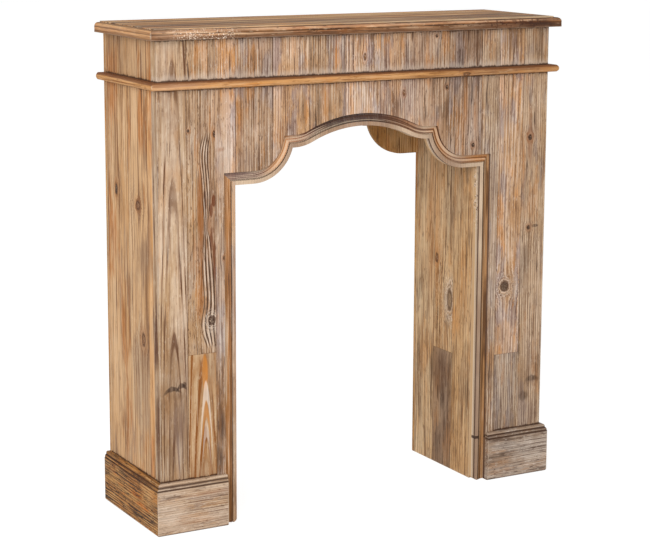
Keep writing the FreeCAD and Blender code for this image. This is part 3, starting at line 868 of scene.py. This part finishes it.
# How strong strands, the parts of knots and the joint of two lengths show
STRAND_WHITE_STRENGTH = 0.45
STRAND_DARK_STRENGTH = 0.9
PALE_TURN_STRENGTH = 0.4
DARK_TURN_STRENGTH = 0.35
HALO_STRENGTH = 0.35
HEART_STRENGTH = 0.9
SPECKLE_STRENGTH = 0.7
RIM_STRENGTH = 0.75
RIM_SINK = 0.8
BUTT_EDGE = 0.3 * MM
BUTT_LINE = (1.2 * MM, 0.4 * MM)
BUTT_STRENGTH = 0.35
# The edges of boards and panels
JOINT_REACH = 1.6 * MM
JOINT_STRENGTH = 0.75
RUBBED_REACH = 4 * MM
# The streaks in the moulding, and the mitre at its shoulders
STREAKS_SEED = 0.5
DARK_STREAKS = (0.49, 0.41)
PALE_STREAKS = (0.53, 0.6)
WORN_STREAKS = (0.42, 0.68)
MITRE_EDGE = (-0.3 * MM, 0.3 * MM)
# The dry surface of the wood
BUMP_STRENGTH = 0.5
BUMP_DEPTH = 1 * MM
DRY_SHINE = 0.15


def varied(finish, draw):
    """A finish with its colours a little lighter or darker, and warmer or cooler."""
    level = draw.uniform(1 - LEVEL_SPREAD, 1 + LEVEL_SPREAD)
    warmth = draw.uniform(-WARMTH_SPREAD, WARMTH_SPREAD)
    tones = (level * (1 + warmth), level, level * (1 - BLUE_SHARE * warmth), 1.0)
    return {
        name: tuple(part * tone for part, tone in zip(value, tones)) if name in WOOD_COLOURS else value
        for name, value in finish.items()
    }


def panel_box(name):
    """The box of the whole panel that a board belongs to, or of the board where it is alone."""
    start = next((start for start in PANELS if name.startswith(start)), name)
    boxes = [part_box(other) for other in boards if other.startswith(start)]
    low = tuple(min(box[0][axis] for box in boxes) for axis in range(3))
    high = tuple(max(box[1][axis] for box in boxes) for axis in range(3))
    return low, high


class Finish:
    """The look of one board while it is built up, layer on layer."""

    def __init__(self, name, kind, seed, draw):
        self.name, self.kind, self.seed, self.draw = name, kind, seed, draw
        self.material = bpy.data.materials.new(name)
        self.shade = bare_tree(self.material)
        self.place = self.shade.value("ShaderNodeTexCoord", output="Object")
        self.parts = dict(zip(AXES, self.shade.parts(self.place)))
        self.run, self.side = self.parts[kind.along], self.parts[kind.across]
        self.depth_axis = next(axis for axis in AXES if axis not in (kind.along, kind.across))

    def tint(self, mask, amount, colour):
        self.colour = self.shade.blend(mask * amount, self.colour, colour)

    def sink(self, mask, amount=1.0):
        self.height = self.height - mask * amount


def fir_length(board, bent, order, finish):
    """The wood of one length of a board, with rings of its own."""
    draw, kind = board.draw, board.kind
    low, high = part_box(board.name)
    across, depth = AXES.index(kind.across), AXES.index(board.depth_axis)
    middle = (low + high) / 2
    width = high[across] - low[across]
    beside = draw.choice((-1, 1)) * draw.uniform(*PITH_BESIDE)
    pith_across = middle[across] + beside * width
    pith_depth = middle[depth] + draw.uniform(*PITH_BEHIND) * MM
    lean = draw.uniform(*RING_LEAN)
    gap = draw.uniform(*RING_GAP)
    if (board.name, order) in FIGURES:
        beside, behind, lean, gap = FIGURES[board.name, order]
        pith_across = beside * MM
        pith_depth = low[depth] + behind * MM
    return board.shade.use(
        FIR, across=bent, depth=board.parts[board.depth_axis], along=board.run,
        seed=board.seed + LENGTH_SEED * order, fineness=kind.fineness, ring_gap=gap * MM / kind.fineness,
        pith_across=pith_across, pith_depth=pith_depth, lean=lean, **varied(finish, draw),
    )


def ramp_between(shade, place, stops):
    """A colour that changes from stop to stop; each stop is a place and a colour."""
    first, last = stops[0][0], stops[-1][0]
    ramp = shade.add("ShaderNodeValToRGB", {"Fac": (place - first) / (last - first)})
    ramp.color_ramp.interpolation = "CARDINAL"
    elements = ramp.color_ramp.elements
    elements[0].color, elements[1].color = stops[0][1], stops[-1][1]
    for stop, colour in stops[1:-1]:
        elements.new((stop - first) / (last - first)).color = colour
    return Value(shade, ramp.outputs["Color"])


def draw_strands(board):
    """The bundle of dark and white strands that swings round the knots of a board."""
    if board.name not in BUNDLES:
        return
    shade = board.shade
    count, stations = BUNDLES[board.name]
    start = min(left for _, left, _ in stations)
    reach = max(right for _, _, right in stations) - start
    stops = [
        (height * MM, ((left - start) / reach, (right - start) / reach, 0.0, 1.0))
        for height, left, right in stations
    ]
    edges = shade.parts(ramp_between(shade, board.run, stops))
    left, right = (edge * (reach * MM) + start * MM for edge in edges[:2])
    strands = shade.use(
        STRANDS, across=board.side, along=board.run, left=left, right=right, count=count, low=stops[0][0],
        high=stops[-1][0], seed=board.seed,
    )
    board.tint(strands.white, STRAND_WHITE_STRENGTH, WASH_WHITE)
    board.tint(strands.dark, STRAND_DARK_STRENGTH, STRAND_DARK)
    board.sink(strands.dark)


def join_lengths(board, bent):
    """The second length of a board, below the joint."""
    level, finish = BUTTS[board.name]
    level = level * MM
    lower = fir_length(board, bent, 1, finish)
    under = board.run.step(level + BUTT_EDGE, level - BUTT_EDGE)
    board.tint(under, 1.0, lower.colour)
    board.height = board.height * (1.0 - under) + lower.height * under
    board.tint(abs(board.run - level).step(*BUTT_LINE), BUTT_STRENGTH, JOINT_BROWN)


def show_knot(board, knot, made):
    """What a knot shows on its board."""
    if knot.heart in RINGED_HEARTS:
        board.tint(made.pale, PALE_TURN_STRENGTH, WASH_WHITE)
        board.tint(made.swirl, DARK_TURN_STRENGTH, KNOT_RING)
    else:
        board.tint(made.halo, HALO_STRENGTH, KNOT_HALO)
    board.tint(made.heart, HEART_STRENGTH, KNOT_HEARTS[knot.heart])
    board.tint(made.speckle, SPECKLE_STRENGTH, KNOT_SPECK)
    board.tint(made.ring, RIM_STRENGTH, KNOT_RING)
    board.sink(made.ring, RIM_SINK)


def lay_wood(board):
    """The bare wood of a board with its marks and knots, in one length or in two that meet at a joint."""
    shade, name = board.shade, board.name
    bent = board.side
    knots = []
    for row in KNOTS.get(name, ()):
        knot = Knot(*row)
        made = shade.use(
            KNOT, across=board.side, along=board.run, knot_across=knot.across * MM,
            knot_along=knot.along * MM, size=knot.size * MM, stretch=knot.stretch,
        )
        bent = bent + made.bend
        knots.append((knot, made))

    fir = fir_length(board, bent, 0, OWN_FINISH.get(name, board.kind.finish))
    board.colour, board.height = fir.colour, fir.height
    board.roughness, board.fibre = fir.roughness, fir.fibre
    if name in BUTTS:
        join_lengths(board, bent)
    for row in MARKS.get(name, ()):
        mark = Mark(*row)
        smudge = shade.use(
            SMUDGE, across=bent, along=board.run, seed=mark.along * MM, mark_across=mark.across * MM,
            mark_along=mark.along * MM, half_width=mark.half_width * MM, half_length=mark.half_length * MM,
            softness=mark.softness, bow=mark.bow * MM,
        ).smudge
        board.tint(smudge, mark.strength, mark.tint)
    draw_strands(board)
    for knot, made in knots:
        show_knot(board, knot, made)


def wear_edges(board):
    """The dark joints between boards and the pale rubbed edges of the panel."""
    low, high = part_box(board.name)
    joints = (tuple(low), tuple(high), JOINT_REACH, JOINT_STRENGTH, JOINT_BROWN)
    outer_edges = (*panel_box(board.name), RUBBED_REACH, board.kind.rubbed, RUBBED_PALE)
    for low, high, reach, amount, tint in (joints, outer_edges):
        worn = board.shade.use(RUBBED, place=board.place, low=low, high=high, reach=reach, seed=board.seed)
        board.tint(worn.rubbed, amount, tint)


def lay_wash_and_shade(board):
    """The white wash caught above the bead, painted shade in the corners under and over the mouldings and
    along the foot of the plinths, and the edge strip darker towards its bottom.
    """
    for height_row in WASH_AND_SHADE:
        if board.name.startswith(height_row.starts):
            heights = height_row.heights + (NOWHERE,) * (len(HEIGHT_SLOTS) - len(height_row.heights))
            height_mask = board.shade.use(
                HEIGHT_LINES, side=board.side, height=board.parts["Z"], seed=board.seed + height_row.seed,
                reach=height_row.reach * MM, fibre=board.fibre, **dict(zip(HEIGHT_SLOTS, heights)),
            )
            board.tint(height_mask.grime, height_row.strength, height_row.tint)


def cove_stain(board):
    """The stain of the moulding: it changes along the arch, and the uprights have their own."""
    x, z = board.parts["X"], board.parts["Z"]
    along_arch = ramp_between(board.shade, x, [(place * MM, colour) for place, colour in COVE_RUN])
    above_mitre = (z - SHOULDER - (abs(x) - OPENING_HALF)).step(*MITRE_EDGE)
    return board.shade.blend(above_mitre, COVE_UPRIGHT.get(board.name, COVE_PLAIN), along_arch)


def stain_moulding(board):
    """The stained cove, the pale arris and the edge behind it, round the arch, with painted highlight on
    the arris and the inner edge and painted shade on the side walls of the moulding.
    """
    shade = board.shade
    x, y, z = shade.parts(shade.value("ShaderNodeNewGeometry", output="Normal"))
    shape = shade.use(
        MOULDING, depth=board.parts["Y"] - FRONT_FACE, facing=y * -1.0, place=board.place,
        seed=STREAKS_SEED,
    )
    arris = shade.blend(shape.streaks.step(*WORN_STREAKS), ARRIS_BROWN, ARRIS_PALE)
    # In order: where, how strong and which tint
    tints = (
        (shape.cove, 0.85, cove_stain(board)),
        (shape.cove * shape.streaks.step(*DARK_STREAKS), 0.75, LIP_DARK),
        (shape.cove * shape.streaks.step(*PALE_STREAKS), 0.55, ARRIS_PALE),
        # The arris: pale worn wash with a painted highlight
        (shape.arris, ARRISES[board.name], arris),
        # The inner edge of the opening: pale wood with a painted highlight
        (shape.inside, 0.85, ARRIS_PALE),
        (shape.rear, 0.6, REAR_GOLD),
        (shape.seam, 0.7, LIP_DARK),
        # Painted shade on the side walls of the moulding
        (shape.walls, 0.8, LIP_DARK),
    )
    for mask, amount, tint in tints:
        board.tint(mask, amount, tint)
    if board.name in NOTCHED:
        edge = shape.inside * (1.0 - shape.rear) + shape.walls + shape.arris
        cut = abs(board.run - NOTCHED[board.name]).step(*NOTCH_EDGE) * edge
        board.tint(cut, NOTCH_STRENGTH, STAIN_BLACK)
    return shape


def chip(board, where):
    """Chips and bruises along one stretch, all over the board or where a mask allows them."""
    for middle, spread, fineness, tint in CHIPPED.get(board.name, ()):
        chips = board.shade.use(
            CHIPS, place=board.place, seed=board.seed, along=board.run, middle=middle * MM,
            spread=spread * MM, fineness=fineness,
        ).chips * where
        board.tint(chips, CHIP_STRENGTH, tint)
        board.sink(chips)


def finish_board(name, kind, seed, draw):
    """The material of one board."""
    board = Finish(name, kind, seed, draw)
    lay_wood(board)
    wear_edges(board)
    lay_wash_and_shade(board)
    where = 1.0
    if name in ARRISES:
        where = stain_moulding(board).inside
    chip(board, where)
    shade = board.shade
    relief = {"Height": board.height, "Strength": BUMP_STRENGTH, "Distance": BUMP_DEPTH}
    inputs = {
        "Base Color": board.colour,
        "Roughness": board.roughness,
        "Normal": shade.value("ShaderNodeBump", relief),
        "Specular IOR Level": DRY_SHINE,
    }
    shade.add("ShaderNodeOutputMaterial", {"Surface": shade.value("ShaderNodeBsdfPrincipled", inputs)})
    return board.material


def finish_boards():
    """Gives each board its own material."""
    draw = random.Random(DRAW_SEED)
    for count, name in enumerate(sorted(boards)):
        kind = next(kind for kind in KINDS if name.startswith(kind.starts))
        material = finish_board(name, kind, BOARD_SEED * count, draw)
        boards[name].data.materials.clear()
        boards[name].data.materials.append(material)


def make_camera():
    """The camera at the photograph's place and angle."""
    level = cos(CAMERA_DIP)
    ahead = Vector((sin(CAMERA_TURN) * level, cos(CAMERA_TURN) * level, -sin(CAMERA_DIP)))
    right = Vector((cos(CAMERA_TURN), -sin(CAMERA_TURN), 0))
    turn = Matrix((right, right.cross(ahead), -ahead)).transposed().to_4x4()
    data = bpy.data.cameras.new("photo_camera")
    data.sensor_width = SENSOR_WIDTH
    data.lens = FOCAL_PIXELS / IMAGE_WIDTH * SENSOR_WIDTH
    data.shift_y = CAMERA_SHIFT
    camera = bpy.data.objects.new("photo_camera", data)
    camera.matrix_world = Matrix.Translation(CAMERA_PLACE) @ turn @ Matrix.Rotation(CAMERA_ROLL, 4, "Z")
    bpy.context.scene.collection.objects.link(camera)
    bpy.context.scene.camera = camera


def sees_white(shade):
    """1 for the rays that see the white background."""
    rays = shade.add("ShaderNodeLightPath").outputs
    camera, glossy, through = (
        Value(shade, rays[f"Is {kind} Ray"]) for kind in ("Camera", "Glossy", "Transmission")
    )
    return shade.math("MAXIMUM", shade.math("MAXIMUM", camera, glossy), through)


WHITE = (1.0, 1.0, 1.0, 1.0)
SKY_LIGHT = 0.53
LAMP_PLACE = (-2.1, -2.5, 1.9)
LAMP_TARGET = (0.0, 0.0, 0.5)
LAMP_SIZE = (2.4, 2.0)
LAMP_POWER = 108
FLOOR_REACH = 20
FLOOR_HEIGHT = -0.5 * MM
FLOOR_PALE = (0.85, 0.85, 0.85, 1.0)
FLOOR_SHADE = (0.4, 0.4, 0.4, 1.0)
FLOOR_GLOW = 0.8


def make_light():
    """Even studio light with a white background, and one broad lamp from the front left."""
    world = bpy.data.worlds.new("studio")
    bpy.context.scene.world = world
    shade = bare_tree(world)
    strength = sees_white(shade) * (1.0 - SKY_LIGHT) + SKY_LIGHT
    background = shade.value("ShaderNodeBackground", {"Color": WHITE, "Strength": strength})
    shade.add("ShaderNodeOutputWorld", {"Surface": background})
    lamp = bpy.data.lights.new("broad_lamp", "AREA")
    lamp.shape = "RECTANGLE"
    lamp.size, lamp.size_y = LAMP_SIZE
    lamp.energy = LAMP_POWER
    holder = bpy.data.objects.new("broad_lamp", lamp)
    away = Vector(LAMP_PLACE) - Vector(LAMP_TARGET)
    holder.location = LAMP_PLACE
    holder.rotation_euler = away.to_track_quat("Z", "Y").to_euler()
    bpy.context.scene.collection.objects.link(holder)


def make_floor():
    """A pale floor that the camera sees as white, with the shadow of the surround on it."""
    mesh = bpy.data.meshes.new("floor")
    corners = ((-1, -1), (1, -1), (1, 1), (-1, 1))
    corners = [(x * FLOOR_REACH, y * FLOOR_REACH, FLOOR_HEIGHT) for x, y in corners]
    mesh.from_pydata(corners, [], [(0, 1, 2, 3)])
    material = bpy.data.materials.new("pale_floor")
    shade = bare_tree(material)
    pale = shade.value("ShaderNodeBsdfDiffuse", {"Color": FLOOR_PALE})
    shadow = shade.value("ShaderNodeBsdfDiffuse", {"Color": FLOOR_SHADE})
    glow = shade.value("ShaderNodeEmission", {"Color": WHITE, "Strength": FLOOR_GLOW})
    seen = shade.value("ShaderNodeAddShader", {0: shadow, 1: glow})
    mixed = shade.value("ShaderNodeMixShader", {"Fac": sees_white(shade), 1: pale, 2: seen})
    shade.add("ShaderNodeOutputMaterial", {"Surface": mixed})
    mesh.materials.append(material)
    floor = bpy.data.objects.new("floor", mesh)
    bpy.context.scene.collection.objects.link(floor)


make_camera()
finish_boards()
make_light()
make_floor()
bpy.context.scene.view_settings.view_transform = "Standard"
